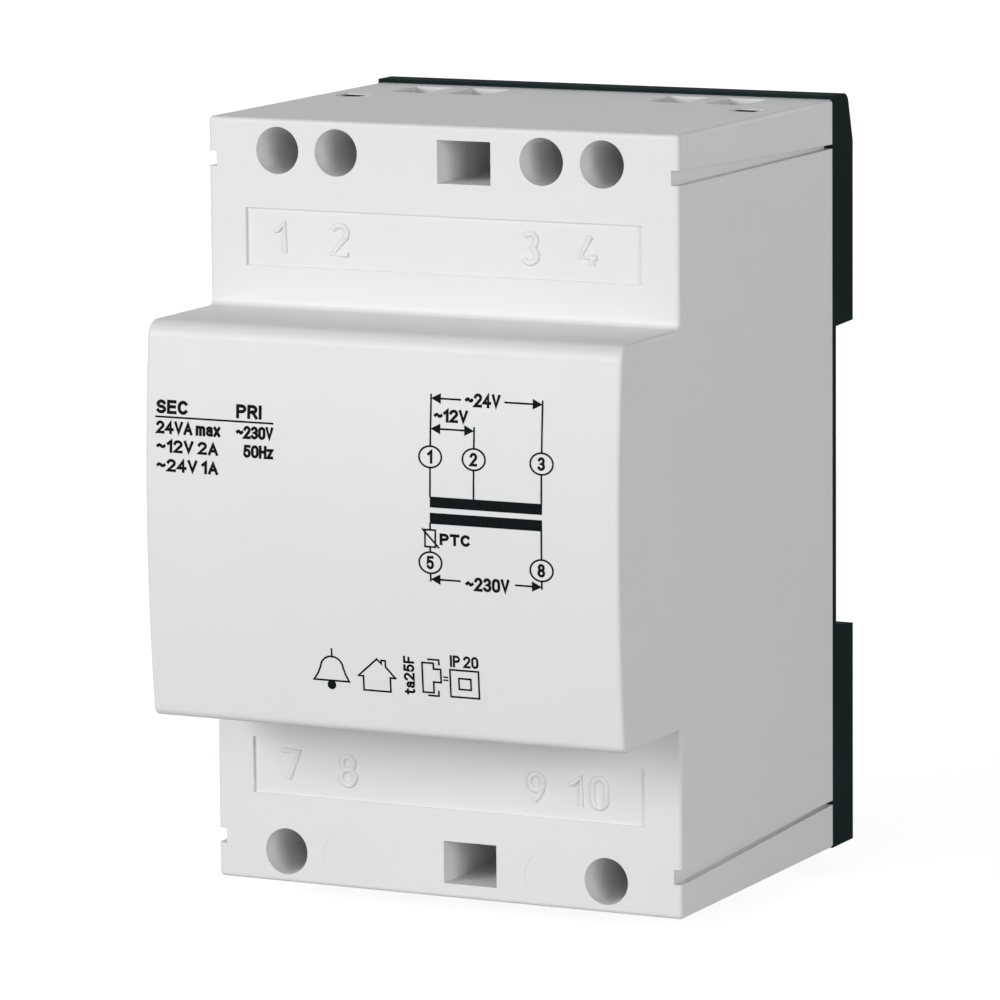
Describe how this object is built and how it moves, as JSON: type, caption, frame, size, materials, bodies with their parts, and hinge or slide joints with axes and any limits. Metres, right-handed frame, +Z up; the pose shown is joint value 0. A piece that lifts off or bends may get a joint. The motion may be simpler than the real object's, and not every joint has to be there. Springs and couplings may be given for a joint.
{
  "type": "doorbell transformer",
  "caption": "Bell transformer for a 35 mm rail: white case with raised front and clamp screw holes, black base with sprung latch, core, coils and lift clamps inside.",
  "frame": {"origin": "centre of the rail recess, on the plane where the rail bears", "axes": "+Z up along the case, +X to the right as seen from the front, -Y out of the front, +Y towards the rail"},
  "size_m": [0.06, 0.0662, 0.0904],
  "materials": {
    "case_white": "fine spark-eroded moulding grain, cool white",
    "base_black": "fine moulding grain, black",
    "latch_black": "smooth satin, black",
    "spring_steel": "drawn wire",
    "core_steel": "stacked silicon steel sheets, varnished",
    "zinc_steel": "zinc plated",
    "bobbin_plastic": "glass filled, natural",
    "winding_copper": "enamelled copper wire in layers",
    "tape_yellow": "polyester tape",
    "ptc_body": "dipped lacquer",
    "carrier_plastic": "grey moulding",
    "contact_brass": "stamped sheet",
    "screw_steel": "zinc plated, passivated",
    "lead_insulation": "extruded insulation",
    "tinned_wire": "tinned"
  },
  "bodies": {
    "root": {"base": "base_black", "latch_spring": "spring_steel", "core_e_stack": "core_steel", "core_i_stack": "core_steel", "core_clamp": "zinc_steel", "bobbin": "bobbin_plastic", "primary_winding": "winding_copper", "primary_tape": "tape_yellow", "secondary_winding": "winding_copper", "secondary_tape": "tape_yellow", "ptc_thermistor": "ptc_body", "terminal_carrier_top": "carrier_plastic", "terminal_carrier_bottom": "carrier_plastic", "carrier_screws": "zinc_steel", "contact_bar_1": "contact_brass", "contact_bar_2": "contact_brass", "contact_bar_3": "contact_brass", "contact_bar_4": "contact_brass", "contact_bar_7": "contact_brass", "contact_bar_10": "contact_brass", "lead_1": "lead_insulation", "lead_2": "lead_insulation", "lead_3": "lead_insulation", "lead_10": "lead_insulation", "lead_3_to_4": "tinned_wire", "ptc_leg_terminal": "tinned_wire", "ptc_leg_coil": "tinned_wire", "housing": "case_white"},
    "latch": {"rail_latch": "latch_black"},
    "screw_1": {"terminal_screw_1": "screw_steel"},
    "cage_1": {"terminal_cage_1": "zinc_steel"},
    "screw_2": {"terminal_screw_2": "screw_steel"},
    "cage_2": {"terminal_cage_2": "zinc_steel"},
    "screw_3": {"terminal_screw_3": "screw_steel"},
    "cage_3": {"terminal_cage_3": "zinc_steel"},
    "screw_4": {"terminal_screw_4": "screw_steel"},
    "cage_4": {"terminal_cage_4": "zinc_steel"},
    "screw_7": {"terminal_screw_7": "screw_steel"},
    "cage_7": {"terminal_cage_7": "zinc_steel"},
    "screw_10": {"terminal_screw_10": "screw_steel"},
    "cage_10": {"terminal_cage_10": "zinc_steel"}
  },
  "joints": [
    {"name": "latch_slide", "type": "slide", "parent": "root", "child": "latch", "axis": [0, 0, -1], "range_m": [0, 0.0035], "stiffness_N_per_m": 1500, "springref_m": -0.004, "deforming": ["latch_spring"]},
    {"name": "screw_1_turn", "type": "hinge", "parent": "root", "child": "screw_1", "pos_m": [-0.021, 0, 0.0413], "axis": [0, 1, 0], "range_deg": [0, 2880]},
    {"name": "cage_1_lift", "type": "slide", "parent": "root", "child": "cage_1", "axis": [0, -1, 0], "range_m": [0, 0.004]},
    {"name": "screw_2_turn", "type": "hinge", "parent": "root", "child": "screw_2", "pos_m": [-0.0134, 0, 0.0413], "axis": [0, 1, 0], "range_deg": [0, 2880]},
    {"name": "cage_2_lift", "type": "slide", "parent": "root", "child": "cage_2", "axis": [0, -1, 0], "range_m": [0, 0.004]},
    {"name": "screw_3_turn", "type": "hinge", "parent": "root", "child": "screw_3", "pos_m": [0.0128, 0, 0.0413], "axis": [0, 1, 0], "range_deg": [0, 2880]},
    {"name": "cage_3_lift", "type": "slide", "parent": "root", "child": "cage_3", "axis": [0, -1, 0], "range_m": [0, 0.004]},
    {"name": "screw_4_turn", "type": "hinge", "parent": "root", "child": "screw_4", "pos_m": [0.0204, 0, 0.0413], "axis": [0, 1, 0], "range_deg": [0, 2880]},
    {"name": "cage_4_lift", "type": "slide", "parent": "root", "child": "cage_4", "axis": [0, -1, 0], "range_m": [0, 0.004]},
    {"name": "screw_7_turn", "type": "hinge", "parent": "root", "child": "screw_7", "pos_m": [-0.021, 0, -0.0413], "axis": [0, 1, 0], "range_deg": [0, 2880]},
    {"name": "cage_7_lift", "type": "slide", "parent": "root", "child": "cage_7", "axis": [0, -1, 0], "range_m": [0, 0.004]},
    {"name": "screw_10_turn", "type": "hinge", "parent": "root", "child": "screw_10", "pos_m": [0.0204, 0, -0.0413], "axis": [0, 1, 0], "range_deg": [0, 2880]},
    {"name": "cage_10_lift", "type": "slide", "parent": "root", "child": "cage_10", "axis": [0, -1, 0], "range_m": [0, 0.004]}
  ],
  "couplings": [
    {"joint": "screw_1_turn", "follows": "cage_1_lift", "rad_per_m": 12566},
    {"joint": "screw_2_turn", "follows": "cage_2_lift", "rad_per_m": 12566},
    {"joint": "screw_3_turn", "follows": "cage_3_lift", "rad_per_m": 12566},
    {"joint": "screw_4_turn", "follows": "cage_4_lift", "rad_per_m": 12566},
    {"joint": "screw_7_turn", "follows": "cage_7_lift", "rad_per_m": 12566},
    {"joint": "screw_10_turn", "follows": "cage_10_lift", "rad_per_m": 12566}
  ]
}
